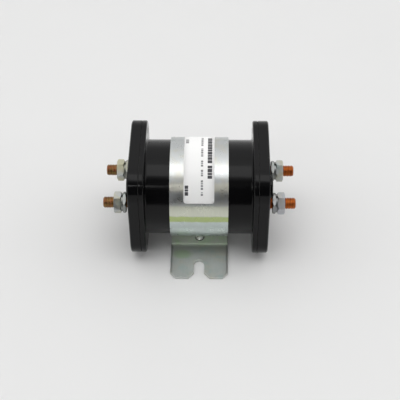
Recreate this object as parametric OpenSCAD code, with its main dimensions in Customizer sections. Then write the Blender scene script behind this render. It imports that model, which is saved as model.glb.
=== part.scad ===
// Power solenoid relay: a sealed barrel with a square end cap at each end, held in a strap on a slotted plate.
// X runs along the solenoid, Z is up, and the origin is the middle of the base plate's underside.
// The coil comes out at the two left studs, and the bridge closes the circuit between the two right studs.

/* [Housing] */
// Diameter of the barrel between the flanges
barrel_d = 63; // [60:0.5:65]
// Length of the housing over both of its flanges
housing_len = 76.6; // [74:0.2:86]
// Side of the square flanges and end caps
flange_w = 72; // [71:0.5:78]
// Corner radius of the flanges and end caps
flange_corner_r = 16; // [12:0.5:20]
// Thickness of the housing flanges
flange_t = 3.2; // [2.4:0.2:5]
// Wall of the barrel
wall = 3; // [2.4:0.1:3.4]
// Moulded fillet where the barrel meets a flange
root_r = 1.6; // [0.6:0.2:2.4]
// Chamfer on the moulded edges
edge_c = 0.7; // [0.3:0.1:1]

/* [End caps] */
// Thickness of an end cap
cap_t = 6.8; // [5.6:0.2:9]
// Diameter of the centre boss on an end cap
boss_d = 16; // [14.5:0.5:17]
// Height of the centre boss above the cap face
boss_h = 3.5; // [2:0.25:5]
// Wall left at the blind end of the boss
boss_wall = 1.5; // [1:0.25:1.75]
// Length of the spigot that enters the barrel
spigot_len = 5; // [4.6:0.1:5.4]
// Wall of the spigot
spigot_wall = 2.6; // [2:0.1:3]
// Thickness of the gasket under each cap
gasket_t = 0.4; // [0.2:0.1:1]
// Thread diameter of the cap screws
cap_screw_d = 4.2; // [3.5:0.1:4.5]
// Head diameter of the countersunk cap screws
cap_screw_head_d = 8; // [7:0.2:8.4]
// Distance of the cap screws' centres from the flange's round corner
cap_screw_inset = 6.7; // [6:0.1:7.4]
// Slack of the cap screws' tips above the flange's inner face
cap_screw_tip = 0.4; // [0.2:0.1:1]

/* [Terminals] */
// Thread diameter of the studs
stud_d = 7.94; // [7:0.02:8.2]
// Diameter turned off the free end, so that a nut starts by hand
stud_lead_step = 0.34; // [0.32:0.02:1.2]
// Thread left bare outside the terminal nut
stud_thread_end = 0.3; // [0.1:0.1:1]
// Distance between the two studs of a cap
stud_spacing = 31; // [30.5:0.5:34]
// Reach of the studs beyond the cap face
stud_reach = 18; // [16.5:0.5:22]
// Chamfer on the stud ends
stud_chamfer = 0.6; // [0.3:0.1:1]
// Side of the square neck that keeps a stud from turning
stud_neck_w = 9.4; // [8.6:0.2:10]
// Length of the square neck
stud_neck_len = 3; // [2:0.5:4]
// Diameter of the stud head inside the cap
stud_head_d = 15; // [13:0.5:15.5]
// Thickness of the stud head
stud_head_t = 4; // [3:0.25:4.5]
// Width across flats of the terminal nuts
nut_af = 12.7; // [12:0.1:13.5]
// Thickness of the base nuts
base_nut_t = 2.2; // [1.6:0.1:3]
// Thickness of the outer nuts
outer_nut_t = 4.76; // [4:0.1:6]
// Bare stud between the cap face and the base nut
nut_standoff = 2.8; // [0.2:0.1:3.4]
// Thickness of the lock washers
lock_washer_t = 1.1; // [0.8:0.1:1.6]
// Outer diameter of the lock washers
lock_washer_d = 12; // [11:0.25:13]

/* [Strap and base] */
// Width of the strap along the barrel
strap_w = 38.1; // [30:0.5:46]
// Thickness of the strap sheet
strap_t = 1.6; // [0.8:0.1:2]
// Angle from straight down at which the strap leaves the barrel
strap_leave = 25; // [22:1:32]
// Inner radius of the reverse bend above each ear
strap_bend_r = 1.1; // [0.6:0.1:2]
// Flat length of each strap ear
ear_len = 10.4; // [9:0.2:14]
// Gap between the flanges and the surface that the plate lies on
floor_gap = 2; // [1:0.25:4]
// Length of the base plate across the solenoid
plate_len = 98.4; // [88:0.2:120]
// Width by which the base plate stands out from the strap on each side
plate_margin = 0.2; // [0.1:0.1:4]
// Thickness of the base plate
plate_t = 2; // [1.6:0.1:2.6]
// Width of the rolled side edges of the base plate
plate_roll = 1.3; // [0.6:0.1:2]
// Width of the open mounting slots
slot_w = 7.1; // [5:0.1:9]
// Depth of the open mounting slots
slot_depth = 15.1; // [10:0.1:20]
// Chamfer at slot mouths and plate corners, along the solenoid
lobe_cx = 3.5; // [1:0.1:5]
// Chamfer at slot mouths and plate corners, across the solenoid
lobe_cy = 4.3; // [1:0.1:6]
// Thread diameter of the strap screws
strap_screw_d = 3.5; // [2.5:0.1:4]
// Head diameter of the strap screws
strap_screw_head_d = 6.4; // [5.4:0.1:7.4]
// Head height of the strap screws
strap_screw_head_h = 2.2; // [1.6:0.1:2.6]
// Width of the label along the barrel
label_w = 19.8; // [12:0.2:30]
// Length of the label round the strap
label_len = 76; // [50:1:100]
// Thickness of the label
label_t = 0.15; // [0.1:0.05:0.3]
// Angle above horizontal of the label's front end
label_start = 25; // [10:1:40]

/* [Magnet] */
// Length of the contact chamber between the magnet and the right cap's inner face
chamber_len = 18; // [17:0.5:20]
// Wall of the magnet frame tube
frame_wall = 2; // [1.5:0.1:2.5]
// Thickness of the pole plates
pole_t = 3; // [2.5:0.1:3.4]
// Thickness of the insulating plates
insulator_t = 1.2; // [0.8:0.1:1.5]
// Radial room round the rear clip in the right insulating plate
insulator_room = 2.1; // [1:0.1:3]
// Diameter of the plunger and the fixed core
core_d = 18; // [16:0.5:18.4]
// Length of the fixed core inside the coil
core_len = 17; // [12:0.5:20]
// Shoulder where the fixed core steps down into its pole plate
core_step = 2.5; // [1:0.1:3]
// Wall of the brass guide tube
guide_wall = 0.8; // [0.6:0.1:0.9]
// Wall of the bobbin tube
bobbin_wall = 1.2; // [1:0.1:1.6]
// Thickness of the bobbin flanges
bobbin_flange_t = 1.5; // [1.2:0.1:2]
// Radial room between the tape and the bobbin's rims, for the outer turns
turn_room = 1.6; // [1.2:0.1:2.4]
// Turns that show along the winding
winding_turns = 24; // [18:1:27]
// Thickness of the tape round the winding
tape_t = 0.5; // [0.3:0.1:0.8]
// Diameter of the coil leads
lead_d = 1.8; // [1.2:0.1:2]
// Wall of the sleeves on the coil leads
sleeve_wall = 0.8; // [0.5:0.1:1]

/* [Moving contact] */
// Air gap between the plunger and the core with the contacts open
air_gap = 3.3; // [3.1:0.1:4]
// Gap between the bridge and the stud heads with the contacts open
contact_gap = 2.5; // [2:0.1:2.8]
// Thickness of the rubber bumper behind the plunger
bumper_t = 1.5; // [1:0.1:2]
// Diameter of the push rod
rod_d = 5; // [4:0.25:5.5]
// Depth of the push rod's socket in the plunger
rod_socket = 14; // [10:0.5:16]
// Length of the push rod inside the return spring
rod_lead = 2.6; // [1.6:0.2:3.6]
// Thickness of the retaining clips on the push rod
clip_t = 0.7; // [0.5:0.1:0.9]
// Rim of the retaining clips around the push rod
clip_rim = 2; // [1.4:0.1:2.4]
// Depth of the clip grooves in the push rod
groove_depth = 0.5; // [0.3:0.05:0.7]
// Gap between the fixed core and the rear clip with the contacts open
rear_clip_gap = 0.6; // [0.4:0.1:1]
// Thickness of the spring washer and the spring seat
washer_t = 0.8; // [0.6:0.1:1]
// Rim of the spring washer and the spring seat outside the springs' mean diameter
washer_rim = 1.3; // [1:0.1:1.6]
// Diameter of the contact bridge
bridge_d = 43; // [40:0.5:45]
// Thickness of the contact bridge
bridge_t = 2.5; // [2:0.1:3]
// Wall of the insulating bush through the bridge
bush_wall = 1.5; // [1:0.1:1.8]
// Diameter of the bush flange and the insulating washer
bush_flange_d = 14; // [12.5:0.25:14.5]
// Thickness of the bush flange and the insulating washer
bush_flange_t = 1.4; // [1:0.1:1.8]
// Wire of the contact spring
contact_wire = 0.9; // [0.7:0.05:1]
// Wire of the return spring
return_wire = 1; // [0.8:0.05:1.1]
// Mean diameter of both springs
spring_d = 8.6; // [8:0.1:8.8]
// Radial room round the return spring in its pocket
pocket_room = 1; // [0.6:0.1:1.2]
// Turns of the return spring
return_turns = 6; // [5:0.5:7]
// Turns of the contact spring
contact_turns = 4; // [3.5:0.5:4.5]

/* [Hidden] */
$fn = 96;
cut = 1; // how far a cutting tool runs past the face that it cuts
fit = 0.1; // radial clearance of fixed pieces that fit in one another
running = 0.1; // radial clearance of pieces that slide
seat = 0.02; // gap where springs and clips seat

// heights and radii of the outer pieces
axis_h = flange_w / 2 + floor_gap;
barrel_r = barrel_d / 2;
corner_at = flange_w / 2 - flange_corner_r;
cap_screw_r = corner_at * sqrt(2) + flange_corner_r - cap_screw_inset;
stud_lead_d = stud_d - stud_lead_step;
bore_r = barrel_r - wall;
inside_r = bore_r - 2 * fit;
shoulder_r = inside_r - frame_wall;

// stations along the solenoid, measured from its middle
housing_end = housing_len / 2;
cap_in = housing_end + gasket_t;
cap_out = cap_in + cap_t;
boss_out = cap_out + boss_h;
pocket_end = boss_out - boss_wall;
spigot_end = cap_in - spigot_len;
stud_tip = cap_out + stud_reach;
head_face = cap_in - stud_head_t;
base_nut_x = cap_out + nut_standoff;
lock_washer_x = base_nut_x + base_nut_t;
outer_nut_x = lock_washer_x + lock_washer_t;
lead_x = outer_nut_x + outer_nut_t + stud_thread_end;
base_nut_turn = -4;
outer_nut_turns = [[17, 15], [25, 17]]; // front and rear stud, at the right and then the left end

// stations of the magnet, between the left cap's spigot and the contact chamber
left_pole_out = -spigot_end + insulator_t;
left_pole_in = left_pole_out + pole_t;
shoulder_x = cap_in - chamber_len;
right_pole_out = shoulder_x - insulator_t;
right_pole_in = right_pole_out - pole_t;
coil_len = right_pole_in - left_pole_in;
core_face = right_pole_in - core_len;

// radii of the magnet's inner pieces
core_r = core_d / 2;
guide_in_r = core_r + running;
guide_out_r = guide_in_r + guide_wall;
bobbin_in_r = guide_out_r + fit;
bobbin_out_r = bobbin_in_r + bobbin_wall;
bobbin_flange_r = shoulder_r - 2 * fit;
winding_r = bobbin_flange_r - tape_t - turn_room;
core_spigot_r = core_r - core_step;
guide_end = left_pole_out;
bumper_face = guide_end + guide_wall + bumper_t;
plunger_face = core_face - air_gap;
lead_y = stud_spacing / 2 + stud_head_d / 4;
sleeve_r = lead_d / 2 + fit / 2 + sleeve_wall;

// stations and radii of the moving contact
rod_r = rod_d / 2;
spring_r = spring_d / 2;
clip_r = rod_r + clip_rim;
washer_r = spring_r + washer_rim;
bridge_x = head_face - contact_gap;
bridge_back = bridge_x - bridge_t;
bush_back = bridge_back - bush_flange_t;
bush_front = bridge_x + bush_flange_t;
bush_r = rod_r + running + bush_wall;
rear_clip_x = right_pole_out + rear_clip_gap;
spring_washer_x = rear_clip_x + clip_t;
contact_spring_x = spring_washer_x + washer_t;
front_clip_x = bush_front + seat;
spring_seat_x = front_clip_x + clip_t;
return_spring_x = spring_seat_x + washer_t;
rod_tip = return_spring_x + rod_lead;
pocket_r = spring_r + return_wire / 2 + pocket_room;

// strap path, as seen along the solenoid, and the plate under it
plate_w = strap_w + 2 * plate_margin;
strap_in_r = barrel_r + fit;
strap_out_r = strap_in_r + strap_t;
strap_lap = 0.1; // how far its thinner stretches run into the full ones
bend_thin = 0.03; // how far the sheet draws in on each side between the barrel and the ears
bend_z = plate_t + strap_t + strap_bend_r;
strap_run = (axis_h - bend_z - (strap_out_r + strap_bend_r) * cos(strap_leave)) / sin(strap_leave);
bend_y = (strap_out_r + strap_bend_r) * sin(strap_leave) - strap_run * cos(strap_leave);
ear_end = bend_y + ear_len;
ear_screw_y = bend_y + ear_len / 2;
ear_top = plate_t + strap_t;

black = "#1c1c1f";
zinc = "#b8bdb8";
copper = "#b4622c";
steel = "#8f9296";
fibre = "#7a3b22";
brass = "#b79a4f";

// points the children's Z axis along the solenoid, with x as their start
module along(x = 0) {
  translate([x, 0, axis_h])
    rotate([0, 90, 0])
      children();
}

// mirrors right-hand children to the left end
module left_end() {
  mirror([1, 0, 0])
    children();
}

// places children at both studs of the right end
module at_studs() {
  for (side = [-1, 1])
    translate([0, side * stud_spacing / 2, 0])
      children();
}

// round bar along the solenoid between two stations
module bar(r, x0, x1) {
  along(x0)
    cylinder(h = x1 - x0, r = r);
}

// tube along the solenoid between two stations
module tube(r_out, r_in, x0, x1) {
  difference() {
    bar(r_out, x0, x1);
    bar(r_in, x0 - cut, x1 + cut);
  }
}

// square plate with round corners, from Z 0 to t, chamfered at its far edge
module corner_plate(t, w, r, c) {
  at = w / 2 - r;
  for (turn = [0, 90])
    rotate(turn)
      rotate([90, 0, 0])
        linear_extrude(2 * at, center = true)
          polygon([[-w / 2, 0], [w / 2, 0], [w / 2, t - c], [w / 2 - c, t], [c - w / 2, t], [-w / 2, t - c]]);
  for (turn = [0:90:270])
    rotate(turn)
      translate([at, at, 0])
        rotate_extrude(angle = 90)
          polygon([[0, 0], [r, 0], [r, t - c], [r - c, t], [0, t]]);
}

// places children at the four cap screws of the right end
module at_cap_screws() {
  for (turn = [45:90:315])
    rotate(turn)
      translate([cap_screw_r, 0, 0])
        children();
}

// concave fillet ring between a bar of radius r and a face at Z 0, standing up from that face
module root_fillet(r, f) {
  rotate_extrude()
    translate([r, 0])
      difference() {
        translate([-f, 0])
          square([2 * f, f]);
        translate([f, f])
          circle(f);
      }
}

module housing() {
  flange_in = housing_end - flange_t;
  color(black)
    difference() {
      union() {
        bar(barrel_r, -flange_in, flange_in);
        for (side = [0, 1])
          mirror([side, 0, 0]) {
            along(housing_end)
              mirror([0, 0, 1])
                corner_plate(flange_t, flange_w, flange_corner_r, edge_c);
            along(flange_in)
              mirror([0, 0, 1])
                root_fillet(barrel_r, root_r);
          }
      }
      bar(bore_r, -housing_end - cut, shoulder_x);
      bar(shoulder_r, 0, housing_end + cut);
      bar(bore_r, spigot_end, housing_end + cut);
      for (side = [0, 1])
        mirror([side, 0, 0])
          along(flange_in - cut)
            at_cap_screws()
              cylinder(h = flange_t + 2 * cut, d = cap_screw_d + fit);
    }
}

// one end cap, placed at the right end
module end_cap() {
  sink = cap_screw_head_d / 2 + 3 * fit;
  color(black)
    difference() {
      union() {
        along(cap_in)
          corner_plate(cap_t, flange_w, flange_corner_r, edge_c);
        along(cap_out)
          cylinder(h = boss_h - edge_c, d = boss_d);
        along(boss_out - edge_c)
          cylinder(h = edge_c, d1 = boss_d, d2 = boss_d - 2 * edge_c);
        tube(inside_r, inside_r - spigot_wall, spigot_end, cap_in);
      }
      bar(pocket_r, cap_in - cut, pocket_end);
      along(cap_in - cut)
        at_studs() {
          cylinder(h = cap_t + 2 * cut, d = stud_d + fit);
          translate([-stud_neck_w / 2 - fit / 2, -stud_neck_w / 2 - fit / 2, 0])
            cube([stud_neck_w + fit, stud_neck_w + fit, stud_neck_len + fit + cut]);
        }
      along(cap_in - cut)
        at_cap_screws() {
          cylinder(h = cap_t + 2 * cut, d = cap_screw_d + 2 * fit);
          translate([0, 0, cap_t + cut - sink])
            cylinder(h = sink, d1 = 0, d2 = 2 * sink);
          translate([0, 0, cap_t + cut])
            cylinder(h = cut, d = 2 * sink);
        }
    }
}

module left_cap() {
  left_end()
    end_cap();
}

module right_cap() {
  end_cap();
}

// one gasket, placed at the right end and set in a little from the cap's outline
module gasket() {
  inset = 0.5;
  color(fibre)
    difference() {
      along(housing_end)
        corner_plate(gasket_t, flange_w - 2 * inset, flange_corner_r - inset, gasket_t / 4);
      bar(bore_r, housing_end - cut, cap_in + cut);
      along(housing_end - cut)
        at_cap_screws()
          cylinder(h = gasket_t + 2 * cut, d = cap_screw_d + 4 * fit);
    }
}

module left_gasket() {
  left_end()
    gasket();
}

module right_gasket() {
  gasket();
}

// countersunk cap screw standing on Z 0 at its tip, with a cross recess in its head
module cap_screw(len) {
  head_h = (cap_screw_head_d - cap_screw_d) / 2;
  recess_l = cap_screw_head_d * 0.56;
  recess_w = 1;
  recess_h = 1.4;
  difference() {
    union() {
      cylinder(h = len - head_h, d = cap_screw_d);
      translate([0, 0, len - head_h])
        cylinder(h = head_h, d1 = cap_screw_d, d2 = cap_screw_head_d);
    }
    for (turn = [0, 90])
      rotate(turn)
        translate([-recess_l / 2, -recess_w / 2, len - recess_h])
          cube([recess_l, recess_w, recess_h + cut]);
  }
}

module cap_screws() {
  tip = housing_end - flange_t + cap_screw_tip;
  color(zinc)
    for (side = [0, 1])
      mirror([side, 0, 0])
        along(tip)
          at_cap_screws()
            cap_screw(cap_out - tip - 2 * fit);
}

// one stud along Z, with Z 0 at the cap's inner face
module stud() {
  thread_top = stud_tip - cap_in;
  lead_bottom = lead_x - cap_in;
  translate([0, 0, -stud_head_t])
    cylinder(h = stud_head_t, d = stud_head_d);
  translate([-stud_neck_w / 2, -stud_neck_w / 2, 0])
    cube([stud_neck_w, stud_neck_w, stud_neck_len]);
  cylinder(h = lead_bottom, d = stud_d);
  translate([0, 0, lead_bottom])
    cylinder(h = thread_top - stud_chamfer - lead_bottom, d = stud_lead_d);
  translate([0, 0, thread_top - stud_chamfer])
    cylinder(h = stud_chamfer, d1 = stud_lead_d, d2 = stud_lead_d - 2 * stud_chamfer);
}

module contact_studs() {
  color(copper)
    along(cap_in)
      at_studs()
        stud();
}

module coil_studs() {
  left_end()
    contact_studs();
}

// hexagonal nut along Z, chamfered at the corners
module hex_nut(t) {
  across = nut_af / cos(30);
  corner_h = (across - nut_af) * tan(30) / 2;
  difference() {
    intersection() {
      cylinder(h = t, d = across, $fn = 6);
      rotate_extrude()
        polygon([[0, 0], [nut_af / 2, 0], [across / 2, corner_h],
          [across / 2, t - corner_h], [nut_af / 2, t], [0, t]]);
    }
    translate([0, 0, -cut])
      cylinder(h = t + 2 * cut, d = stud_d + fit);
  }
}

// places children on all four studs, at a station from the middle
module on_all_studs(x) {
  for (side = [0, 1])
    mirror([side, 0, 0])
      along(x)
        at_studs()
          children();
}

module base_nuts() {
  color(zinc)
    on_all_studs(base_nut_x)
      rotate(base_nut_turn)
        hex_nut(base_nut_t);
}

// the terminal nuts, each left at its own turn
module terminal_nuts() {
  color(zinc)
    for (end = [0, 1], side = [0, 1])
      mirror([end, 0, 0])
        along(outer_nut_x)
          translate([0, (side - 0.5) * stud_spacing, 0])
            rotate(outer_nut_turns[end][side])
              hex_nut(outer_nut_t);
}

// split spring washers
module lock_washers() {
  split = 16;
  color(zinc)
    on_all_studs(lock_washer_x)
      rotate(180 + split / 2)
        rotate_extrude(angle = 360 - split)
          translate([stud_d / 2 + fit, 0])
            square([lock_washer_d / 2 - stud_d / 2 - fit, lock_washer_t]);
}

// strap below the barrel on the +Y side: a run, a reverse bend and the ear, with X pointing down from the barrel axis
module strap_leg() {
  thin_t = strap_t - 2 * bend_thin;
  thin_w = strap_w - 2 * bend_thin;
  translate([0, 0, bend_thin])
    rotate(strap_leave) {
      translate([strap_in_r + bend_thin, -strap_run, 0])
        cube([thin_t, strap_run + strap_lap, thin_w]);
      translate([strap_out_r + strap_bend_r, -strap_run, 0])
        rotate(180)
          rotate_extrude(angle = 180 - strap_leave)
            translate([strap_bend_r + bend_thin, 0])
              square([thin_t, thin_w]);
    }
  translate([axis_h - ear_top, bend_y - strap_lap, 0])
    cube([strap_t, ear_len + strap_lap, strap_w]);
}

module strap() {
  color(zinc)
    difference() {
      along(-strap_w / 2) {
        rotate(strap_leave)
          rotate_extrude(angle = 360 - 2 * strap_leave)
            translate([strap_in_r, 0])
              square([strap_t, strap_w]);
        for (side = [0, 1])
          mirror([0, side, 0])
            strap_leg();
      }
      for (side = [-1, 1])
        translate([0, side * ear_screw_y, plate_t - cut])
          cylinder(h = strap_t + 2 * cut, d = strap_screw_d + 4 * fit);
    }
}

// open slot and corner chamfers at the +Y end of the base plate
module plate_end_cut() {
  half = plate_len / 2;
  round_y = half - slot_depth + slot_w / 2;
  translate([0, round_y, -cut])
    cylinder(h = plate_t + 2 * cut, d = slot_w);
  translate([0, 0, -cut])
    linear_extrude(plate_t + 2 * cut) {
      polygon([[-slot_w / 2, round_y], [slot_w / 2, round_y], [slot_w / 2, half - lobe_cy],
        [slot_w / 2 + lobe_cx, half], [slot_w / 2 + lobe_cx, half + cut],
        [-slot_w / 2 - lobe_cx, half + cut], [-slot_w / 2 - lobe_cx, half],
        [-slot_w / 2, half - lobe_cy]]);
      for (side = [0, 1])
        mirror([side, 0])
          polygon([[plate_w / 2, half - lobe_cy], [plate_w / 2 - lobe_cx, half],
            [plate_w / 2 - lobe_cx, half + cut], [plate_w / 2 + cut, half + cut],
            [plate_w / 2 + cut, half - lobe_cy]]);
    }
}

module base_plate() {
  drop = plate_t / 4;
  color(zinc)
    difference() {
      rotate([90, 0, 0])
        linear_extrude(plate_len, center = true)
          polygon([[-plate_w / 2, 0], [plate_w / 2, 0], [plate_w / 2, plate_t - drop],
            [plate_w / 2 - plate_roll, plate_t], [plate_roll - plate_w / 2, plate_t],
            [-plate_w / 2, plate_t - drop]]);
      for (side = [0, 1])
        mirror([0, side, 0]) {
          plate_end_cut();
          translate([0, ear_screw_y, -cut])
            cylinder(h = plate_t + 2 * cut, d = strap_screw_d + fit);
        }
    }
}

// slotted screws with domed heads, through the ears into the plate
module strap_screws() {
  tip = 0.3;
  side_h = 0.7;
  rise = strap_screw_head_h - side_h;
  dome_r = (pow(strap_screw_head_d / 2, 2) + pow(rise, 2)) / (2 * rise);
  slot_h = 1;
  slot_t = 0.9;
  color(zinc)
    for (side = [-1, 1])
      translate([0, side * ear_screw_y, 0])
        difference() {
          union() {
            translate([0, 0, tip])
              cylinder(h = ear_top - tip, d = strap_screw_d);
            intersection() {
              translate([0, 0, ear_top + strap_screw_head_h - dome_r])
                sphere(dome_r);
              translate([0, 0, ear_top])
                cylinder(h = strap_screw_head_h + cut, d = strap_screw_head_d);
            }
          }
          translate([0, 0, ear_top + strap_screw_head_h])
            rotate(-side * 35)
              cube([strap_screw_head_d + cut, slot_t, 2 * slot_h], center = true);
        }
}

module label() {
  start = label_start;
  sweep = label_len / (strap_out_r + label_t) * 180 / PI;
  color("white")
    along(-label_w / 2)
      rotate(-90 - start)
        mirror([0, 1, 0])
          rotate_extrude(angle = sweep)
            translate([strap_out_r, 0])
              square([label_t, label_w]);
}

module magnet_frame() {
  color(steel)
    tube(inside_r, shoulder_r, left_pole_in, right_pole_in);
}

// holes for the two sleeved coil leads, between two stations
module lead_holes(x0, x1) {
  for (side = [-1, 1])
    translate([0, side * lead_y, 0])
      bar(sleeve_r + fit, x0 - cut, x1 + cut);
}

module left_pole_plate() {
  color(steel)
    difference() {
      tube(inside_r, guide_out_r + fit, left_pole_out, left_pole_in);
      lead_holes(left_pole_out, left_pole_in);
    }
}

module right_pole_plate() {
  color(steel)
    tube(inside_r, core_spigot_r + fit, right_pole_in, right_pole_out);
}

module fixed_core() {
  color(steel)
    difference() {
      union() {
        bar(core_r, core_face, right_pole_in);
        bar(core_spigot_r, right_pole_in - cut, right_pole_out);
      }
      bar(rod_r + running, core_face - cut, right_pole_out + cut);
    }
}

module guide_tube() {
  color(brass)
    difference() {
      bar(guide_out_r, guide_end, right_pole_in);
      bar(guide_in_r, guide_end + guide_wall, right_pole_in + cut);
    }
}

module bumper() {
  color("#2b2b2b")
    bar(core_r - fit, guide_end + guide_wall, bumper_face);
}

module bobbin() {
  color("#d8cfae")
    difference() {
      union() {
        bar(bobbin_out_r, left_pole_in, right_pole_in);
        bar(bobbin_flange_r, left_pole_in, left_pole_in + bobbin_flange_t);
        bar(bobbin_flange_r, right_pole_in - bobbin_flange_t, right_pole_in);
      }
      bar(bobbin_in_r, left_pole_in - cut, right_pole_in + cut);
      lead_holes(left_pole_in, left_pole_in + bobbin_flange_t);
    }
}

// the winding as one body, its outer layer showing as round turns side by side
module coil_winding() {
  x0 = left_pole_in + bobbin_flange_t;
  len = coil_len - 2 * bobbin_flange_t;
  pitch = len / winding_turns;
  color("#8c3f1d")
    difference() {
      along(x0)
        rotate_extrude() {
          square([winding_r, len]);
          for (turn = [0:winding_turns - 1])
            translate([winding_r, (turn + 0.5) * pitch])
              circle(d = pitch - seat, $fn = 24);
        }
      bar(bobbin_out_r + fit, x0 - cut, x0 + len + cut);
    }
}

module coil_tape() {
  x0 = left_pole_in + bobbin_flange_t;
  x1 = right_pole_in - bobbin_flange_t;
  turn_r = (x1 - x0) / winding_turns / 2;
  color("#c9b458")
    tube(winding_r + turn_r + tape_t, winding_r + turn_r + seat, x0 + fit, x1 - fit);
}

module coil_leads() {
  color(copper)
    for (side = [-1, 1])
      translate([0, side * lead_y, 0])
        bar(lead_d / 2, -head_face, left_pole_in + bobbin_flange_t);
}

module lead_sleeves() {
  bare = 0.3;
  color("#9b1f1c")
    for (side = [-1, 1])
      translate([0, side * lead_y, 0])
        tube(sleeve_r, lead_d / 2 + fit / 2, bare - head_face, left_pole_in + bobbin_flange_t);
}

module left_insulator() {
  color(fibre)
    difference() {
      bar(inside_r, -spigot_end, left_pole_out);
      lead_holes(-spigot_end, left_pole_out);
    }
}

module right_insulator() {
  color(fibre)
    tube(inside_r, clip_r + insulator_room, right_pole_out, shoulder_x);
}

module plunger() {
  color(steel)
    difference() {
      bar(core_r, bumper_face + seat, plunger_face);
      bar(rod_r + fit / 2, plunger_face - rod_socket, plunger_face + cut);
    }
}

module push_rod() {
  color(zinc)
    difference() {
      bar(rod_r, plunger_face - rod_socket + seat, rod_tip);
      for (x = [rear_clip_x, front_clip_x])
        tube(rod_r + cut, rod_r - groove_depth, x - seat, x + clip_t + seat);
    }
}

// open retaining clips in the rod's two grooves
module rod_clips() {
  mouth = 2 * (rod_r - groove_depth) - clip_t;
  color(steel)
    for (x = [rear_clip_x, front_clip_x])
      difference() {
        tube(clip_r, rod_r - groove_depth + seat, x, x + clip_t);
        translate([x - cut, -mouth / 2, axis_h])
          cube([clip_t + 2 * cut, mouth, clip_r + cut]);
      }
}

module spring_washer() {
  color(zinc)
    tube(washer_r, rod_r + running, spring_washer_x, contact_spring_x);
}

module spring_seat() {
  color(zinc)
    tube(washer_r, rod_r + running, spring_seat_x, return_spring_x);
}

module contact_bridge() {
  color(copper)
    tube(bridge_d / 2, bush_r + fit, bridge_back, bridge_x);
}

module bridge_bush() {
  color(fibre)
    difference() {
      union() {
        bar(bush_flange_d / 2, bush_back, bridge_back);
        bar(bush_r, bush_back, bush_front);
      }
      bar(rod_r + running, bush_back - cut, bush_front + cut);
    }
}

module bridge_washer() {
  color(fibre)
    tube(bush_flange_d / 2, bush_r + fit, bridge_x, bush_front);
}

// height along a compression spring at a turn, with one closed turn at each end
function spring_z(turn, turns, len, wire) =
  let (free = len - 3 * wire, open = turns - 2)
  turn < 1 ? wire / 2 + turn * wire
  : turn > turns - 1 ? len - wire / 2 - (turns - turn) * wire
  : wire * 1.5 + (turn - 1) * free / open;

// compression spring along Z from 0 to len, swept from rings of sides points
module coil_spring(len, turns, wire) {
  sides = 8;
  per_turn = 20;
  rings = turns * per_turn;
  points = [
    for (i = [0:rings], j = [0:sides - 1])
      let (a = i * 360 / per_turn, b = j * 360 / sides, r = spring_r + cos(b) * wire / 2)
      [r * cos(a), r * sin(a), spring_z(i / per_turn, turns, len, wire) + sin(b) * wire / 2]
  ];
  walls = [
    for (i = [0:rings - 1], j = [0:sides - 1])
      let (k = (j + 1) % sides)
      [i * sides + j, i * sides + k, (i + 1) * sides + k, (i + 1) * sides + j]
  ];
  ends = [
    [for (j = [sides - 1:-1:0]) j],
    [for (j = [0:sides - 1]) rings * sides + j]
  ];
  polyhedron(points, concat(walls, ends), convexity = 10);
}

module contact_spring() {
  color(steel)
    along(contact_spring_x + seat)
      coil_spring(bush_back - contact_spring_x - 2 * seat, contact_turns, contact_wire);
}

module return_spring() {
  color(steel)
    along(return_spring_x + seat)
      coil_spring(pocket_end - return_spring_x - 2 * seat, return_turns, return_wire);
}

housing();
left_cap();
right_cap();
left_gasket();
right_gasket();
cap_screws();
coil_studs();
contact_studs();
base_nuts();
lock_washers();
terminal_nuts();
strap();
base_plate();
strap_screws();
label();
magnet_frame();
left_pole_plate();
right_pole_plate();
fixed_core();
guide_tube();
bumper();
bobbin();
coil_winding();
coil_tape();
coil_leads();
lead_sleeves();
left_insulator();
right_insulator();
plunger();
push_rod();
rod_clips();
spring_washer();
spring_seat();
contact_bridge();
bridge_bush();
bridge_washer();
contact_spring();
return_spring();
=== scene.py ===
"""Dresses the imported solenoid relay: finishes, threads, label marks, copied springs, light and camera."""

import math

import bmesh
import bpy
from mathutils import Matrix, Vector


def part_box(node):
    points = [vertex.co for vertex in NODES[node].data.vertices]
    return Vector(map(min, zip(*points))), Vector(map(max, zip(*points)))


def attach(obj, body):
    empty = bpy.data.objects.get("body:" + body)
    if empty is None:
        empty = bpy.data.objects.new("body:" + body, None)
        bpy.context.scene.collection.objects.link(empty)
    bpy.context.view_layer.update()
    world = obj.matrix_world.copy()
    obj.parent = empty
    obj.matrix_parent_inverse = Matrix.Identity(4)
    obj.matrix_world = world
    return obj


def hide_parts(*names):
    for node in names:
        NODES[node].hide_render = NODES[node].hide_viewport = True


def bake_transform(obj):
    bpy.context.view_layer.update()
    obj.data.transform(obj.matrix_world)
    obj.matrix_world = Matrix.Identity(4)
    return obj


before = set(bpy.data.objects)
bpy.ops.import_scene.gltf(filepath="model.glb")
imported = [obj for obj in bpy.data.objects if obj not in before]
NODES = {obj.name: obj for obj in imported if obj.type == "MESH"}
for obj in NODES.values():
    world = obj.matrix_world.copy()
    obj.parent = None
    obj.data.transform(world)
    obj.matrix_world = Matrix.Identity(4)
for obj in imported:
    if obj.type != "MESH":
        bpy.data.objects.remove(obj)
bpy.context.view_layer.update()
MM = 0.001
# vertices closer than this, in metres, count as one
WELD = 2e-6


def box_mm(node):
    """A CAD node's lowest and highest corners at rest, in millimetres."""
    return [[round(value / MM, 3) for value in corner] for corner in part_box(node)]


# Sizes that the dressed pieces share with the solids, in millimetres

CAP_LOW, CAP_HIGH = box_mm("right_cap")
AXIS_Z = (CAP_LOW[2] + CAP_HIGH[2]) / 2
STUD_Y = 15.5
STRAP_R = 33.2


# Node trees

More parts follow.
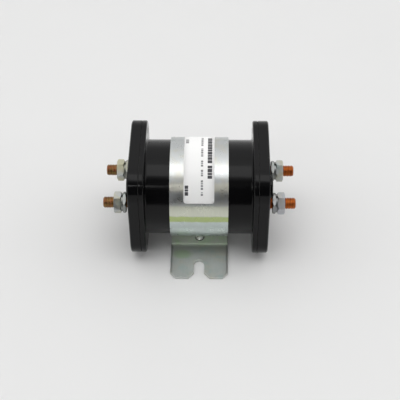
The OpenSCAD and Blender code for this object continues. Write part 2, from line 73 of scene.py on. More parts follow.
class Tree:
    """The node tree of a material or of the world, with a short call for each kind of node used here."""

    def __init__(self, owner, coordinates):
        owner.use_nodes = True
        self.nodes = owner.node_tree.nodes
        self.links = owner.node_tree.links
        self.place = self.add("ShaderNodeTexCoord").outputs[coordinates]

    def add(self, kind, inputs=(), **settings):
        """A new node with the given settings, and with its inputs given by name or number."""
        node = self.nodes.new(kind)
        for key, value in settings.items():
            setattr(node, key, value)
        for key, value in dict(inputs).items():
            self.put(node.inputs[key], value)
        return node

    def put(self, socket, value):
        """Links another node's output to a socket, or sets the socket's own number or colour."""
        if isinstance(value, bpy.types.NodeSocket):
            self.links.new(value, socket)
        elif isinstance(value, tuple) and len(value) == 3 and socket.type == "RGBA":
            socket.default_value = (*value, 1)
        else:
            socket.default_value = value

    def math(self, operation, first, second=0.0):
        return self.add("ShaderNodeMath", {0: first, 1: second}, operation=operation).outputs[0]

    def plus(self, total, *others):
        for other in others:
            total = self.math("ADD", total, other)
        return total

    def times(self, product, *others):
        for other in others:
            product = self.math("MULTIPLY", product, other)
        return product

    def axes(self, names="xyz"):
        """The coordinates of the place, such as "xz" for two of them."""
        outputs = self.add("ShaderNodeSeparateXYZ", {0: self.place}).outputs
        return [outputs["xyz".index(name)] for name in names]

    def span(self, value, low, high, to_low=0.0, to_high=1.0):
        """Maps low..high to to_low..to_high, smoothly and without running past the ends."""
        limits = {"From Min": low, "From Max": high, "To Min": to_low, "To Max": to_high}
        node = self.add("ShaderNodeMapRange", {"Value": value, **limits}, interpolation_type="SMOOTHSTEP")
        return node.outputs["Result"]


class Paint(Tree):
    """One material, with the textures, mixes and bumps that the finishes are made of."""

    def __init__(self, name, metallic=0.0, ior=1.5):
        self.material = bpy.data.materials.new(name)
        super().__init__(self.material, "Object")
        self.shader = self.nodes["Principled BSDF"]
        self.shader.inputs["Metallic"].default_value = metallic
        self.shader.inputs["IOR"].default_value = ior

    def vector(self, operation, first, second):
        return self.add("ShaderNodeVectorMath", {0: first, 1: second}, operation=operation).outputs[0]

    def joined(self, x, y, z):
        return self.add("ShaderNodeCombineXYZ", {0: x, 1: y, 2: z}).outputs[0]

    def stretched(self, x, y, z):
        """The place with each coordinate scaled. A small share draws a texture out along that axis."""
        return self.vector("MULTIPLY", self.place, (x, y, z))

    def noise(self, size_mm, detail=3.0, rough=0.55, vector=None):
        """Noise from 0 to 1 with features about size_mm across."""
        return self.add("ShaderNodeTexNoise", {
            "Vector": vector or self.place,
            "Scale": 1 / (size_mm * MM),
            "Detail": detail,
            "Roughness": rough,
        }).outputs["Fac"]

    def mix(self, share, color, other):
        """A colour with a share of another. 6, 7 and 2 are the places of the Mix node's colour sockets."""
        node = self.add("ShaderNodeMix", {"Factor": share, 6: color, 7: other}, data_type="RGBA")
        return node.outputs[2]

    def bump(self, height, depth_mm, strength, normal=None):
        """A bump on top of the one given as normal, if any."""
        inputs = {"Height": height, "Distance": depth_mm * MM, "Strength": strength}
        node = self.add("ShaderNodeBump", inputs)
        if normal is not None:
            self.put(node.inputs["Normal"], normal)
        return node.outputs["Normal"]

    def finish(self, color, roughness, normal=None):
        self.put(self.shader.inputs["Base Color"], color)
        self.put(self.shader.inputs["Roughness"], roughness)
        if normal is not None:
            self.put(self.shader.inputs["Normal"], normal)
        return self.material


# Materials

def black_plastic():
    """Glossy moulding with faint clouds, smears along the barrel and a few specks of dust."""
    paint = Paint("black_moulded_plastic", ior=1.29)
    deep = (0.0013, 0.0013, 0.0017)
    pale = (0.0026, 0.0026, 0.0030)
    dusty = (0.05, 0.05, 0.048)
    specks = paint.span(paint.noise(0.55, detail=1), 0.74, 0.80)
    dust = paint.times(specks, paint.span(paint.noise(9, detail=2), 0.45, 0.7, 0, 0.3))
    color = paint.mix(dust, paint.mix(paint.noise(14, detail=4), deep, pale), dusty)
    smears = paint.noise(5, detail=4, rough=0.6, vector=paint.stretched(0.35, 1, 1))
    roughness = paint.plus(paint.span(smears, 0.3, 0.75, 0.10, 0.19), paint.times(dust, 0.4))
    waves = paint.bump(paint.noise(11, detail=2), depth_mm=0.12, strength=0.35)
    normal = paint.bump(paint.noise(1.3, detail=2), depth_mm=0.02, strength=0.3, normal=waves)
    return paint.finish(color, roughness, normal)


def lathe_rings(paint, step_mm=0.16):
    """Fine rings round X, from 0 to 1."""
    return paint.noise(step_mm, detail=2, rough=0.6, vector=paint.stretched(1, 0.02, 0.02))


def zinc_tints(paint, base, warm, cool, size_mm=9):
    """Zinc with the faint yellow and green clouds of its passivation."""
    yellow = paint.span(paint.noise(size_mm, detail=3, rough=0.6), 0.42, 0.68)
    elsewhere = paint.vector("ADD", paint.place, (0.3, 0.1, 0.2))
    green = paint.span(paint.noise(size_mm * 0.8, detail=3, rough=0.6, vector=elsewhere), 0.48, 0.72)
    return paint.mix(green, paint.mix(yellow, base, warm), cool)


# painted reflection bands on the strap's front, standing in for the room's light and shade on the round
# part; the green-yellow one is painted reflection with the zinc's chromate colour. Where each starts and
# ends in radians above the viewer's side, its soft edge, its colour and its share
STRAP_REFLECTION_BANDS = [
    (0.67, 0.84, 0.05, (0.77, 0.755, 0.655), 0.9),
    (0.14, 0.38, 0.03, (0.65, 0.67, 0.56), 0.9),
    (-0.90, 0.01, 0.03, (0.56, 0.64, 0.625), 0.8),
    (-0.90, -0.20, 0.08, (0.72, 0.79, 0.785), 0.9),
    (0.002, 0.140, 0.022, (0.42, 0.51, 0.20), 0.95),
]
# heights between which the ears' finish turns into the round part's
EAR_TOP = 4.5 * MM
ROUND_FOOT = 7.5 * MM


def strap_zinc():
    """Zinc plate with painted reflection bands on the round part's front, and greener ears with painted
    light.
    """
    paint = Paint("zinc_strap", metallic=1.0)
    x, y, z = paint.axes()
    cloudy = paint.noise(6.5, detail=4, rough=0.62)
    angle = paint.math("ARCTAN2", paint.math("SUBTRACT", z, AXIS_Z * MM), paint.times(y, -1))
    wavy_angle = paint.plus(angle, paint.times(paint.math("SUBTRACT", cloudy, 0.5), 0.05))
    round_strap = paint.joined(x, paint.times(angle, 0.0012), paint.times(y, 0.03))
    grain = paint.noise(0.22, detail=3, rough=0.65, vector=round_strap)
    front = paint.span(y, -12 * MM, -18 * MM)
    color = zinc_tints(paint, (0.575, 0.595, 0.600), (0.58, 0.575, 0.52), (0.53, 0.575, 0.56))
    for low, high, edge, reflection_tint, share in STRAP_REFLECTION_BANDS:
        started = paint.span(wavy_angle, low - edge, low + edge)
        not_ended = paint.span(wavy_angle, high - edge, high + edge, 1, 0)
        color = paint.mix(paint.times(started, not_ended, front, share), color, reflection_tint)
    color = paint.mix(paint.span(grain, 0.35, 0.8, 0, 0.3), color, (0.44, 0.45, 0.44))
    ear = paint.span(z, EAR_TOP, ROUND_FOOT, 1, 0)
    # painted light: the ears are paler than the round part, standing in for light under the barrel; their
    # green is the zinc's own colour
    lightened_ear_color = paint.mix(paint.span(cloudy, 0.4, 0.65), (0.74, 0.80, 0.70), (0.68, 0.82, 0.62))
    paint.put(paint.shader.inputs["Metallic"], paint.span(z, EAR_TOP, ROUND_FOOT, 0.3, 1.0))
    smooth_part = paint.plus(paint.span(cloudy, 0.3, 0.75, 0.22, 0.33), paint.times(grain, 0.08))
    roughness = paint.plus(smooth_part, paint.times(ear, 0.15))
    waves = paint.bump(paint.noise(17, detail=2), depth_mm=0.18, strength=0.3)
    ripples = paint.bump(paint.noise(3.8, detail=3, rough=0.6), depth_mm=0.055, strength=0.7, normal=waves)
    normal = paint.bump(grain, depth_mm=0.012, strength=0.5, normal=ripples)
    return paint.finish(paint.mix(ear, color, lightened_ear_color), roughness, normal)


# the green patch on the plate's front left lobe, in millimetres: its middle and its reach from there
GREEN_X = -11.5
GREEN_Y = -29.0
GREEN_REACH_X = 6.5
GREEN_REACH_Y = 4.0


def plate_zinc():
    """Zinc plate with a painted shadow under the barrel, and a green patch as the photo shows."""
    paint = Paint("zinc_plate_sheet", metallic=0.6)
    x, y = paint.axes("xy")
    grain = paint.noise(0.3, detail=3, rough=0.65, vector=paint.stretched(1, 0.03, 1))
    cloudy = paint.noise(5.5, detail=4, rough=0.62)
    color = zinc_tints(paint, (0.55, 0.57, 0.55), (0.56, 0.56, 0.50), (0.47, 0.54, 0.52), size_mm=11)
    off_x = paint.math("DIVIDE", paint.math("SUBTRACT", x, GREEN_X * MM), GREEN_REACH_X * MM)
    off_y = paint.math("DIVIDE", paint.math("SUBTRACT", y, GREEN_Y * MM), GREEN_REACH_Y * MM)
    reach = paint.plus(paint.times(off_x, off_x), paint.times(off_y, off_y))
    reach = paint.plus(reach, paint.times(paint.math("SUBTRACT", cloudy, 0.5), 1.6))
    color = paint.mix(paint.span(reach, 0.2, 1.6, 0.7, 0), color, (0.38, 0.52, 0.31))
    # painted shadow: darker towards the barrel, front and back, where the barrel's shadow falls
    barrel_shadow = paint.span(paint.math("ABSOLUTE", y), 21 * MM, 31 * MM, 0.45, 0)
    color = paint.mix(barrel_shadow, color, (0.20, 0.22, 0.19))
    color = paint.mix(paint.span(grain, 0.35, 0.8, 0, 0.3), color, (0.42, 0.44, 0.42))
    roughness = paint.plus(paint.span(cloudy, 0.3, 0.75, 0.26, 0.40), paint.times(grain, 0.08))
    waves = paint.bump(paint.noise(13, detail=2), depth_mm=0.2, strength=0.35)
    normal = paint.bump(grain, depth_mm=0.012, strength=0.5, normal=waves)
    return paint.finish(color, roughness, normal)


def nut_zinc(name, painted_shade=0.0):
    """Zinc on turned fasteners: yellow at the rear left, violet at the front right, darkened by painted
    shade.
    """
    paint = Paint(name, metallic=1.0)
    x, y = paint.axes("xy")
    color = zinc_tints(paint, (0.60, 0.62, 0.62), (0.60, 0.59, 0.47), (0.51, 0.59, 0.57), size_mm=7)
    rear_left = paint.times(paint.span(x, -44 * MM, -46 * MM), paint.span(y, 8 * MM, 12 * MM))
    front_right = paint.times(paint.span(x, 44 * MM, 46 * MM), paint.span(y, -12 * MM, -8 * MM, 1, 0))
    color = paint.mix(paint.times(rear_left, 0.6), color, (0.64, 0.60, 0.34))
    color = paint.mix(paint.times(front_right, 0.45), color, (0.52, 0.51, 0.60))
    rings = lathe_rings(paint, step_mm=0.12)
    # painted shade: the share darkens the whole finish, for the base nuts and lock washers in shade by the
    # caps
    color = paint.mix(paint.span(rings, 0.4, 0.8, painted_shade, painted_shade + 0.2), color, (0.17, 0.175, 0.17))
    roughness = paint.span(paint.noise(3, detail=3), 0.3, 0.7, 0.32, 0.42)
    dents = paint.bump(paint.noise(4, detail=2), depth_mm=0.03, strength=0.3)
    grooves = paint.bump(rings, depth_mm=0.01, strength=0.3, normal=dents)
    return paint.finish(color, roughness, grooves)


def screw_zinc():
    """The strap screws' pale zinc, with painted shade in the slot and round the foot of the head."""
    paint = Paint("zinc_strap_screw", metallic=0.55)
    (z,) = paint.axes("z")
    head_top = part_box("strap_screws")[1][2]
    clean = zinc_tints(paint, (0.86, 0.89, 0.83), (0.86, 0.84, 0.72), (0.76, 0.85, 0.80), size_mm=2)
    # painted shade: darker below the head's top, in the slot and round the foot of the head
    above_painted_shade = paint.span(z, head_top - 1.6 * MM, head_top - 0.7 * MM)
    color = paint.mix(above_painted_shade, (0.09, 0.10, 0.085), clean)
    roughness = paint.span(paint.noise(1.4, detail=3), 0.3, 0.7, 0.22, 0.32)
    dents = paint.bump(paint.noise(0.9, detail=2), depth_mm=0.03, strength=0.5)
    return paint.finish(color, roughness, dents)


def stud_copper():
    """Copper, orange at the right end and browner at the left, with painted shade in the thread's valleys.
    """
    paint = Paint("stud_copper", metallic=1.0)
    x, y, z = paint.axes()
    side = paint.math("SUBTRACT", paint.math("ABSOLUTE", y), STUD_Y * MM)
    up = paint.math("SUBTRACT", z, AXIS_Z * MM)
    radius = paint.math("SQRT", paint.plus(paint.times(side, side), paint.times(up, up)))
    # painted shade in the thread's valleys
    valley_shade = paint.span(radius, 3.4 * MM, 3.8 * MM, 1, 0)
    tarnish = paint.span(paint.noise(3.2, detail=4, rough=0.6), 0.38, 0.68)
    orange = paint.mix(tarnish, (0.66, 0.205, 0.045), (0.44, 0.12, 0.035))
    brown = paint.mix(tarnish, (0.36, 0.26, 0.10), (0.38, 0.15, 0.08))
    bright = paint.mix(paint.span(x, -20 * MM, 20 * MM), brown, orange)
    color = paint.mix(paint.times(valley_shade, 0.45), bright, (0.20, 0.08, 0.035))
    roughness = paint.span(paint.noise(1.5, detail=3), 0.3, 0.7, 0.30, 0.46)
    grain = paint.bump(paint.noise(0.4, detail=3), depth_mm=0.01, strength=0.5)
    return paint.finish(color, roughness, grain)


def label_film():
    paint = Paint("label_film")
    color = paint.mix(paint.noise(12, detail=3), (0.985, 0.985, 0.98), (0.95, 0.95, 0.945))
    roughness = paint.span(paint.noise(4, detail=3), 0.3, 0.7, 0.30, 0.42)
    waves = paint.bump(paint.noise(5, detail=3), depth_mm=0.03, strength=0.3)
    return paint.finish(color, roughness, waves)


def label_ink(name, low, high):
    """Ink that wavers between two greys, with no bump of its own."""
    paint = Paint(name)
    color = paint.mix(paint.span(paint.noise(0.35, detail=2), 0.35, 0.7), low, high)
    return paint.finish(color, paint.span(paint.noise(1, detail=2), 0.3, 0.7, 0.5, 0.65))


def mottled(name, low, high, size_mm, rough=(0.5, 0.7), grain_mm=0.6, depth_mm=0.02, metallic=0.0):
    """A plain finish with clouds of two shades, about size_mm across, and a fine grain."""
    paint = Paint(name, metallic=metallic)
    color = paint.mix(paint.span(paint.noise(size_mm, detail=4, rough=0.6), 0.35, 0.7), low, high)
    roughness = paint.span(paint.noise(size_mm * 0.4, detail=3), 0.3, 0.7, *rough)
    grain = paint.bump(paint.noise(grain_mm, detail=3), depth_mm, strength=0.6)
    return paint.finish(color, roughness, grain)


def lathe_metal(name, low, high, rough=(0.25, 0.4)):
    """Turned metal with fine rings round the solenoid axis and a few darker clouds."""
    paint = Paint(name, metallic=1.0)
    rings = lathe_rings(paint)
    darker = tuple(0.6 * value for value in low)
    color = paint.mix(paint.span(rings, 0.3, 0.8), low, high)
    color = paint.mix(paint.span(paint.noise(7, detail=4), 0.5, 0.8, 0, 0.35), color, darker)
    roughness = paint.span(paint.noise(4, detail=3), 0.3, 0.7, *rough)
    grooves = paint.bump(rings, depth_mm=0.015, strength=0.6)
    return paint.finish(color, roughness, grooves)


def enamelled_wire(turn_mm=1.8):
    """Lacquered copper wire, with a stripe for each turn along the coil."""
    paint = Paint("enamelled_wire", metallic=0.6)
    (x,) = paint.axes("x")
    stripes = paint.math("SINE", paint.times(x, 2 * math.pi / (turn_mm * MM)))
    color = paint.mix(paint.span(stripes, -1, 1), (0.34, 0.11, 0.04), (0.55, 0.22, 0.09))
    color = paint.mix(paint.span(paint.noise(6, detail=3), 0.45, 0.75, 0, 0.5), color, (0.28, 0.08, 0.03))
    paint.shader.inputs["Coat Weight"].default_value = 0.5
    roughness = paint.span(paint.noise(3, detail=2), 0.3, 0.7, 0.25, 0.4)
    grain = paint.bump(paint.noise(0.5, detail=2), depth_mm=0.01, strength=0.4)
    return paint.finish(color, roughness, grain)


BLACK = black_plastic()
ZINC_STRAP = strap_zinc()
ZINC_PLATE = plate_zinc()
ZINC_NUT = nut_zinc("zinc_fastener")
# a copy of the fastener zinc darkened with painted shade, for the base nuts and lock washers
ZINC_SHADED = nut_zinc("zinc_fastener_shaded", painted_shade=0.7)
ZINC_SCREW = screw_zinc()
COPPER = stud_copper()
LABEL_FILM = label_film()
INK_DARK = label_ink("label_ink_dark", (0.025, 0.025, 0.03), (0.10, 0.10, 0.11))
INK_PALE = label_ink("label_ink_pale", (0.16, 0.16, 0.165), (0.34, 0.34, 0.35))
WIRE = enamelled_wire()
STEEL = lathe_metal("turned_steel", (0.42, 0.43, 0.45), (0.58, 0.59, 0.60))
BRASS = lathe_metal("drawn_brass", (0.60, 0.44, 0.17), (0.75, 0.58, 0.27))
SPRING = lathe_metal("spring_steel", (0.30, 0.31, 0.33), (0.48, 0.49, 0.51), (0.2, 0.32))
FIBRE = mottled("vulcanised_fibre", (0.20, 0.065, 0.035), (0.30, 0.11, 0.06), 5, depth_mm=0.03)
GASKET = mottled("gasket_board", (0.018, 0.018, 0.018), (0.04, 0.04, 0.038), 3, (0.7, 0.9))
NYLON = mottled("natural_nylon", (0.70, 0.65, 0.50), (0.80, 0.76, 0.63), 8, (0.4, 0.55))
TAPE = mottled("film_tape", (0.60, 0.44, 0.08), (0.72, 0.57, 0.16), 7, (0.25, 0.4))
SLEEVE = mottled(
    "lead_sleeving", (0.33, 0.02, 0.018), (0.48, 0.05, 0.04), 2,
    rough=(0.5, 0.65), grain_mm=0.35, depth_mm=0.05,
)
RUBBER = mottled("bumper_rubber", (0.012, 0.012, 0.012), (0.03, 0.03, 0.03), 4, (0.7, 0.85))
DISC = mottled(
    "contact_copper", (0.60, 0.26, 0.12), (0.80, 0.40, 0.20), 6,
    rough=(0.25, 0.4), grain_mm=0.3, depth_mm=0.01, metallic=1.0,
)

FINISHES = {
    BLACK: ["housing", "left_cap", "right_cap"],
    GASKET: ["left_gasket", "right_gasket"],
    ZINC_STRAP: ["strap"],
    ZINC_PLATE: ["base_plate"],
    ZINC_NUT: ["terminal_nuts", "cap_screws", "push_rod", "spring_washer", "spring_seat"],
    ZINC_SCREW: ["strap_screws"],
    ZINC_SHADED: ["base_nuts", "lock_washers"],
    STEEL: ["magnet_frame", "left_pole_plate", "right_pole_plate", "fixed_core", "plunger"],
    BRASS: ["guide_tube"],
    SPRING: ["contact_spring", "return_spring", "rod_clips"],
    FIBRE: ["left_insulator", "right_insulator", "bridge_bush", "bridge_washer"],
    NYLON: ["bobbin"],
    TAPE: ["coil_tape"],
    SLEEVE: ["lead_sleeves"],
    RUBBER: ["bumper"],
    DISC: ["contact_bridge", "coil_leads"],
    COPPER: ["coil_studs", "contact_studs"],
    LABEL_FILM: ["label"],
    WIRE: ["coil_winding"],
}

for material, names in FINISHES.items():
    for name in names:
        materials = NODES[name].data.materials
        materials.clear()
        materials.append(material)


# Pieces made here: meshes

def link_object(name, mesh):
    obj = bpy.data.objects.new(name, mesh)
    bpy.context.scene.collection.objects.link(obj)
    return obj


def mesh_object(name, bm, material):
    """Turns a bmesh into a smooth object with one material."""
    mesh = bpy.data.meshes.new(name)
    bmesh.ops.recalc_face_normals(bm, faces=bm.faces)
    for face in bm.faces:
        face.smooth = True
    bm.to_mesh(mesh)
    bm.free()
    mesh.materials.append(material)
    return link_object(name, mesh)


# Threaded studs: places along X at the right end, then radii and widths, in millimetres

STUDS_LOW, STUDS_HIGH = box_mm("contact_studs")
HEAD_X = STUDS_LOW[0]
CAP_X = box_mm("right_gasket")[1][0]
NECK_X = 41.7
LEAD_X = 56.66
TIP_X = STUDS_HIGH[0]
HEAD_R = (STUDS_HIGH[2] - STUDS_LOW[2]) / 2
HEAD_EDGE = 0.35
NECK_W = 9.4
NECK_EDGE = 0.25
CREST_R = 3.97
LEAD_R = 3.8
ROOT_R = 3.36
CHAMFER = 0.9
PITCH = 1.058
# the thread's height at even steps along one pitch, as shares of root to crest
PROFILE = [0.0, 0.04, 0.5, 0.94, 1.0, 0.94, 0.5, 0.04]
THREAD_STEPS = 40
HEAD_STEPS = 48


def stud_point(x, radius, turn, y, side):
    """A point at a share of a turn round a stud's axis. side is 1 for the right end and -1 for the left."""
    angle = 2 * math.pi * turn
    return (side * x * MM, (y + radius * math.cos(angle)) * MM, (AXIS_Z + radius * math.sin(angle)) * MM)


def add_thread(bm, y, side):
    """A threaded shank whose rows of vertices climb with the helix, so that its crests stay clean."""
    per_turn = len(PROFILE)
    turns = math.ceil((TIP_X - NECK_X) / PITCH) + 1
    rows = []
    for level in range(turns * per_turn + 1):
        row = []
        for step in range(THREAD_STEPS):
            turn = step / THREAD_STEPS
            x = NECK_X + (level / per_turn - 1 + turn) * PITCH
            crest = CREST_R if x < LEAD_X else LEAD_R
            run_in = max(0.0, min(1.0, (x - NECK_X) / PITCH))
            x = min(max(x, NECK_X), TIP_X)
            radius = ROOT_R + (crest - ROOT_R) * PROFILE[level % per_turn] * run_in
            radius = min(radius, LEAD_R - CHAMFER + TIP_X - x)
            row.append(bm.verts.new(stud_point(x, radius, turn, y, side)))
        rows.append(row)
    for level in range(len(rows) - 1):
        row = rows[level]
        above = rows[level + 1]
        for step in range(THREAD_STEPS - 1):
            bm.faces.new((row[step], row[step + 1], above[step + 1], above[step]))
        # a row ends a pitch further along than it starts, so its end joins the start of the row one turn on
        if level + 1 + per_turn < len(rows):
            bm.faces.new((row[-1], rows[level + per_turn][0], rows[level + 1 + per_turn][0], above[-1]))


def close_thread(bm):
    """Merges the vertices that lie together at the neck and tip, and fills the open ends."""
    bmesh.ops.remove_doubles(bm, verts=bm.verts, dist=WELD)
    bmesh.ops.dissolve_degenerate(bm, edges=bm.edges, dist=WELD / 2)
    bmesh.ops.holes_fill(bm, edges=[edge for edge in bm.edges if edge.is_boundary], sides=0)


def add_head(bm, y, side):
    """The stud's round head behind the cap, with rounded edges."""
    bulge = 0.3 * HEAD_EDGE
    outline = [
        (CAP_X, HEAD_R - HEAD_EDGE),
        (CAP_X - bulge, HEAD_R - bulge),
        (CAP_X - HEAD_EDGE, HEAD_R),
        (HEAD_X + HEAD_EDGE, HEAD_R),
        (HEAD_X + bulge, HEAD_R - bulge),
        (HEAD_X, HEAD_R - HEAD_EDGE),
    ]
    rings = []
    for x, radius in outline:
        points = [stud_point(x, radius, step / HEAD_STEPS, y, side) for step in range(HEAD_STEPS)]
        rings.append([bm.verts.new(point) for point in points])
    for ring, following in zip(rings, rings[1:]):
        for step in range(HEAD_STEPS):
            beside = (step + 1) % HEAD_STEPS
            bm.faces.new((ring[step], ring[beside], following[beside], following[step]))
    bm.faces.new(rings[0])
    bm.faces.new(rings[-1])


def add_neck(bm, y, side):
    """The square neck that keeps the stud from turning in the cap."""
    overlap = 0.02
    middle = Matrix.Translation((side * (CAP_X + NECK_X) / 2 * MM, y * MM, AXIS_Z * MM))
    size = Matrix.Diagonal(((NECK_X - CAP_X + overlap) * MM, NECK_W * MM, NECK_W * MM, 1))
    neck = bmesh.ops.create_cube(bm, size=1.0, matrix=middle @ size)
    edges = list(dict.fromkeys(edge for corner in neck["verts"] for edge in corner.link_edges))
    bmesh.ops.bevel(bm, geom=edges, offset=NECK_EDGE * MM, segments=2, affect="EDGES")


def make_studs(name, side):
    """The two studs of one end."""
    bm = bmesh.new()
    for y in (-STUD_Y, STUD_Y):
        add_thread(bm, y, side)
    close_thread(bm)
    for y in (-STUD_Y, STUD_Y):
        add_head(bm, y, side)
        add_neck(bm, y, side)
    obj = mesh_object(name, bm, COPPER)
    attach(obj, "root")
    return obj


coil_studs = make_studs("coil_studs_threaded", -1)
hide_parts("coil_studs")
contact_studs = make_studs("contact_studs_threaded", 1)
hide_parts("contact_studs")


# Label and its marks: sizes in millimetres, across the strap and round it from the label's front end

LABEL_HALF_W = box_mm("label")[1][0]
LABEL_LEN = 76.0
LABEL_T = 0.15
LABEL_START_DEG = 25.0
INK_T = 0.012
INK_SINK = 0.01
# a corner's radius, and the number of steps in its arc
LABEL_CORNER = (1.7, 6)
INK_CORNER = (0.2, 3)
COLUMNS = 4
ROW_STEP = 1.5


def on_strap(x, round_mm, lift):
    """A point at x across the strap and round_mm round it, lifted off the strap."""
    angle = math.radians(LABEL_START_DEG) + round_mm / (STRAP_R + LABEL_T)
    radius = STRAP_R + lift
    return (x * MM, -radius * math.cos(angle) * MM, (AXIS_Z + radius * math.sin(angle)) * MM)


def patch_rows(length, radius, arc_steps):
    """Where a patch's rows lie along its length: along the corners' arcs, and evenly between them."""
    flat_steps = max(2, round(length / ROW_STEP))
    places = {0.0, length}
    for i in range(1, arc_steps + 1):
        place = radius * (1 - math.cos(math.pi / 2 * i / arc_steps))
        places |= {place, length - place}
    places |= {radius + (length - 2 * radius) * i / flat_steps for i in range(1, flat_steps)}
    return sorted(places)


def add_patch(bm, left, right, start, end, corner, low, high):
    """A thin bent sheet: left to right across the strap, start to end round it, and low to high off it."""
    top = []
    bottom = []
    length = end - start
    radius, arc_steps = corner
    for place in patch_rows(length, radius, arc_steps):
        near = min(place, length - place, radius)
        inset = radius - math.sqrt(radius ** 2 - (radius - near) ** 2)
        width = right - left - 2 * inset
        xs = [left + inset + width * i / COLUMNS for i in range(COLUMNS + 1)]
        top.append([bm.verts.new(on_strap(x, start + place, high)) for x in xs])
        bottom.append([bm.verts.new(on_strap(x, start + place, low)) for x in xs])
    for sheet in (top, bottom):
        for row, above in zip(sheet, sheet[1:]):
            for i in range(COLUMNS):
                bm.faces.new((row[i], row[i + 1], above[i + 1], above[i]))
    rims = [(top[0], bottom[0]), (top[-1], bottom[-1])]
    rims += [([row[i] for row in top], [row[i] for row in bottom]) for i in (0, COLUMNS)]
    for upper, lower in rims:
        for i in range(len(upper) - 1):
            bm.faces.new((upper[i], upper[i + 1], lower[i + 1], lower[i]))


bm = bmesh.new()
add_patch(bm, -LABEL_HALF_W, LABEL_HALF_W, 0, LABEL_LEN, LABEL_CORNER, 0.0, LABEL_T)
label = mesh_object("label_sheet", bm, LABEL_FILM)
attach(label, "root")
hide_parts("label")

# plain bars stand in for print. Each line of bars has its left and right edge, its start round the strap,
# the bars' lengths in turn, the gap between bars, and how long each run of bars and each blank after it is
DARK_MARKS = [
    (5.5, 8.4, 16.3, (2.1, 1.5, 2.5, 1.8, 2.2), 0.3, [9.4, 1.2, 27.1]),
    (-9.1, -6.9, 5.3, (2.4, 1.4, 2.1), 0.3, [6.8]),
]
PALE_MARKS = [
    (1.2, 2.6, 5.3, (1.2, 0.8, 1.4), 0.45, [2.2, 1.6, 6.6, 2.2, 4.4, 2.2, 4.8, 2.6, 7.6, 2.4, 13.1]),
    (-8.9, -6.9, 45.0, (1.8, 1.3), 0.5, [6.2]),
]


def bars(runs, lengths, gap):
    """Splits every other run into short bars, and gives each bar's start and end."""
    place = 0.0
    spans = []
    for i, run in enumerate(runs):
        end = place + run
        while i % 2 == 0 and place < end - gap:
            length = min(lengths[len(spans) % len(lengths)], end - place)
            spans.append((place, place + length))
            place += length + gap
        place = end
    return spans


def label_marks(name, marks, ink):
    """The bars of all these lines in one piece, sunk slightly into the label."""
    bm = bmesh.new()
    low = LABEL_T - INK_SINK
    high = LABEL_T + INK_T
    for left, right, first, lengths, gap, runs in marks:
        for start, end in bars(runs, lengths, gap):
            add_patch(bm, left, right, first + start, first + end, INK_CORNER, low, high)
    piece = mesh_object(name, bm, ink)
    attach(piece, "root")


label_marks("label_marks_dark", DARK_MARKS, INK_DARK)
label_marks("label_marks_pale", PALE_MARKS, INK_PALE)


# Springs: copies of the CAD springs, which stand in for the hidden nodes


def make_spring(node):
    """A copy of a CAD spring's mesh, placed where the node lies, that stands in for the hidden node."""
    mesh = NODES[node].data.copy()
    mesh.transform(NODES[node].matrix_world)
    obj = link_object(f"{node}_flexing", mesh)
    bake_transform(obj)
    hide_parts(node)


make_spring("return_spring")
make_spring("contact_spring")


# Rounded edges on the CAD pieces: how wide in millimetres, and from which angle in degrees

EDGES = {
    "housing": (0.35, 30),
    "left_cap": (0.35, 30),
    "right_cap": (0.35, 30),
    "strap": (0.22, 40),
    "base_plate": (0.16, 18),
    "base_nuts": (0.22, 25),
    "terminal_nuts": (0.22, 25),
    "lock_washers": (0.15, 40),
    "strap_screws": (0.12, 30),
    "cap_screws": (0.12, 35),
}


def soften(obj, width_mm, angle):
    """Welds an object's faces together, rounds its sharp edges and keeps its large faces' shading true."""
    weld = obj.modifiers.new("weld", "WELD")
    weld.merge_threshold = WELD
    bevel = obj.modifiers.new("edges", "BEVEL")
    bevel.width = width_mm * MM
    bevel.segments = 2
    bevel.limit_method = "ANGLE"
    bevel.angle_limit = math.radians(angle)
    bevel.use_clamp_overlap = True
    shading = obj.modifiers.new("shading", "WEIGHTED_NORMAL")
    shading.keep_sharp = True


for name, (width_mm, angle) in EDGES.items():
    soften(NODES[name], width_mm, angle)


# Floor, in metres

FLOOR_REACH = 4.0
FLOOR_DROP = 0.0002


def plain_floor():
    paint = Paint("pale_floor")
    return paint.finish(paint.mix(paint.noise(60, detail=3), (0.79, 0.79, 0.79), (0.81, 0.81, 0.81)), 0.75)


corners = [(-1, -1), (1, -1), (1, 1), (-1, 1)]
floor_mesh = bpy.data.meshes.new("floor")
floor_mesh.from_pydata([(FLOOR_REACH * x, FLOOR_REACH * y, 0) for x, y in corners], [], [(0, 1, 2, 3)])
floor_mesh.materials.append(plain_floor())
floor = link_object("floor", floor_mesh)
floor.location.z = -FLOOR_DROP


# Room light, by degrees round the solenoid axis: 0 is the viewer's horizon and 90 is overhead

# steps in brightness: where each starts and ends, and the level before and after it
SKY = [
    (44, 48, 0.08, 0.19),
    (57, 74, 0.19, 1.26),
    (74, 86, 1.26, 1.31),
    (100, 120, 1.31, 1.06),
    (120, 150, 1.06, 0.80),
]
# a narrow lamp at the camera's height: where it comes up and goes down, and its level. It has two parts:
# over these stretches of directions, given by their share along X, the left one fades out and the right
# one comes up
LAMP_UP = (41, 42.5)
LAMP_DOWN = (43.5, 45.5)
LAMP_LEVEL = 3.0
LEFT_FADE = (-0.105, -0.045)
LEFT_SHARE = 2.6
RIGHT_RISE = (0.14, 0.18)
RIGHT_SHARE = 1.3


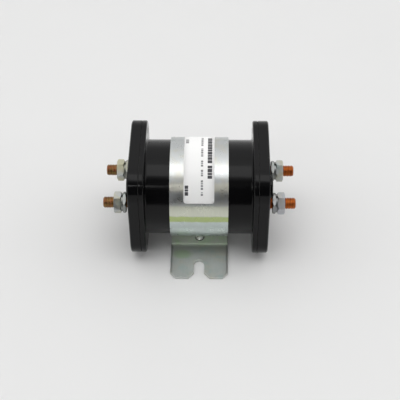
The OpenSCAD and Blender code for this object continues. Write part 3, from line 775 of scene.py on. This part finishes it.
def studio_world():
    """A pale room, bright overhead and behind and dark towards the viewer, with a narrow lamp there."""
    world = bpy.data.worlds.new("studio")
    bpy.context.scene.world = world
    tree = Tree(world, "Generated")
    x, y, z = tree.axes()
    degrees = tree.times(tree.math("ARCTAN2", z, tree.times(y, -1)), 180 / math.pi)
    steps = [tree.span(degrees, low, high, 0, after - before) for low, high, before, after in SKY]
    first_level = SKY[0][2]
    sky = tree.plus(*steps, first_level)
    lamp = tree.times(tree.span(degrees, *LAMP_UP, 0, LAMP_LEVEL), tree.span(degrees, *LAMP_DOWN, 1, 0))
    lit = tree.plus(tree.span(x, *LEFT_FADE, LEFT_SHARE, 0), tree.span(x, *RIGHT_RISE, 0, RIGHT_SHARE))
    background = tree.nodes["Background"]
    tree.put(background.inputs["Strength"], tree.plus(sky, tree.times(lamp, lit)))
    background.inputs["Color"].default_value = (1.0, 1.0, 0.995, 1)


studio_world()


# Lamps, in metres, watts and degrees

def toward(azimuth, elevation, distance):
    """A step away from the object, at an azimuth from the viewer's side and an elevation, in degrees."""
    turn = math.radians(azimuth)
    rise = math.radians(elevation)
    level = math.cos(rise)
    return Vector((math.sin(turn) * level, -math.cos(turn) * level, math.sin(rise))) * distance


def add_lamp(name, kind, place, aim, power):
    """A lamp at a place, turned towards its aim."""
    data = bpy.data.lights.new(name, kind)
    data.energy = power
    lamp = link_object(name, data)
    lamp.location = place
    lamp.rotation_euler = (aim - place).to_track_quat("-Z", "Y").to_euler()
    return data


MIDDLE = Vector((0, 0, AXIS_Z * MM))
overhead = add_lamp("overhead", "AREA", MIDDLE + toward(0, 82, 1.4), MIDDLE, 2.3)
overhead.shape = "RECTANGLE"
overhead.size = 1.2
overhead.size_y = 0.7

# a narrow soft beam that reaches under the barrel to the front ear and lobe of the plate
FRONT_EAR = Vector((0, -0.040, 0.002))
beam = add_lamp("low_beam", "SPOT", FRONT_EAR + toward(0, 38, 0.6), FRONT_EAR, 2.4)
beam.spot_size = math.radians(6)
beam.spot_blend = 1.0
beam.shadow_soft_size = 0.03


# Camera: its direction, distance and roll come from fitting the part's outline to the photo's

IMAGE = 400
SENSOR = 36
AZIMUTH = 1.23
ELEVATION = 44.56
ROLL = math.radians(-0.49)
DISTANCE = 0.7046
PIXELS_PER_M = 1486.4
# the pixel of the photo where the middle of the barrel lies
MIDDLE_X = 199.7
MIDDLE_Y = 186.35

back = toward(AZIMUTH, ELEVATION, 1.0)
level_across = Vector((math.cos(math.radians(AZIMUTH)), math.sin(math.radians(AZIMUTH)), 0))
level_up = back.cross(level_across)
across = math.cos(ROLL) * level_across + math.sin(ROLL) * level_up
up = math.cos(ROLL) * level_up - math.sin(ROLL) * level_across
facing = Matrix((across, up, back)).transposed().to_4x4()

camera_data = bpy.data.cameras.new("camera")
camera_data.sensor_width = SENSOR
camera_data.lens = PIXELS_PER_M * DISTANCE / IMAGE * SENSOR
camera_data.shift_x = (IMAGE / 2 - MIDDLE_X) / IMAGE
camera_data.shift_y = (MIDDLE_Y - IMAGE / 2) / IMAGE
camera_data.clip_start = 0.01
camera = link_object("camera", camera_data)
camera.matrix_world = Matrix.Translation(MIDDLE + DISTANCE * back) @ facing
bpy.context.scene.camera = camera
bpy.context.scene.view_settings.view_transform = "Standard"
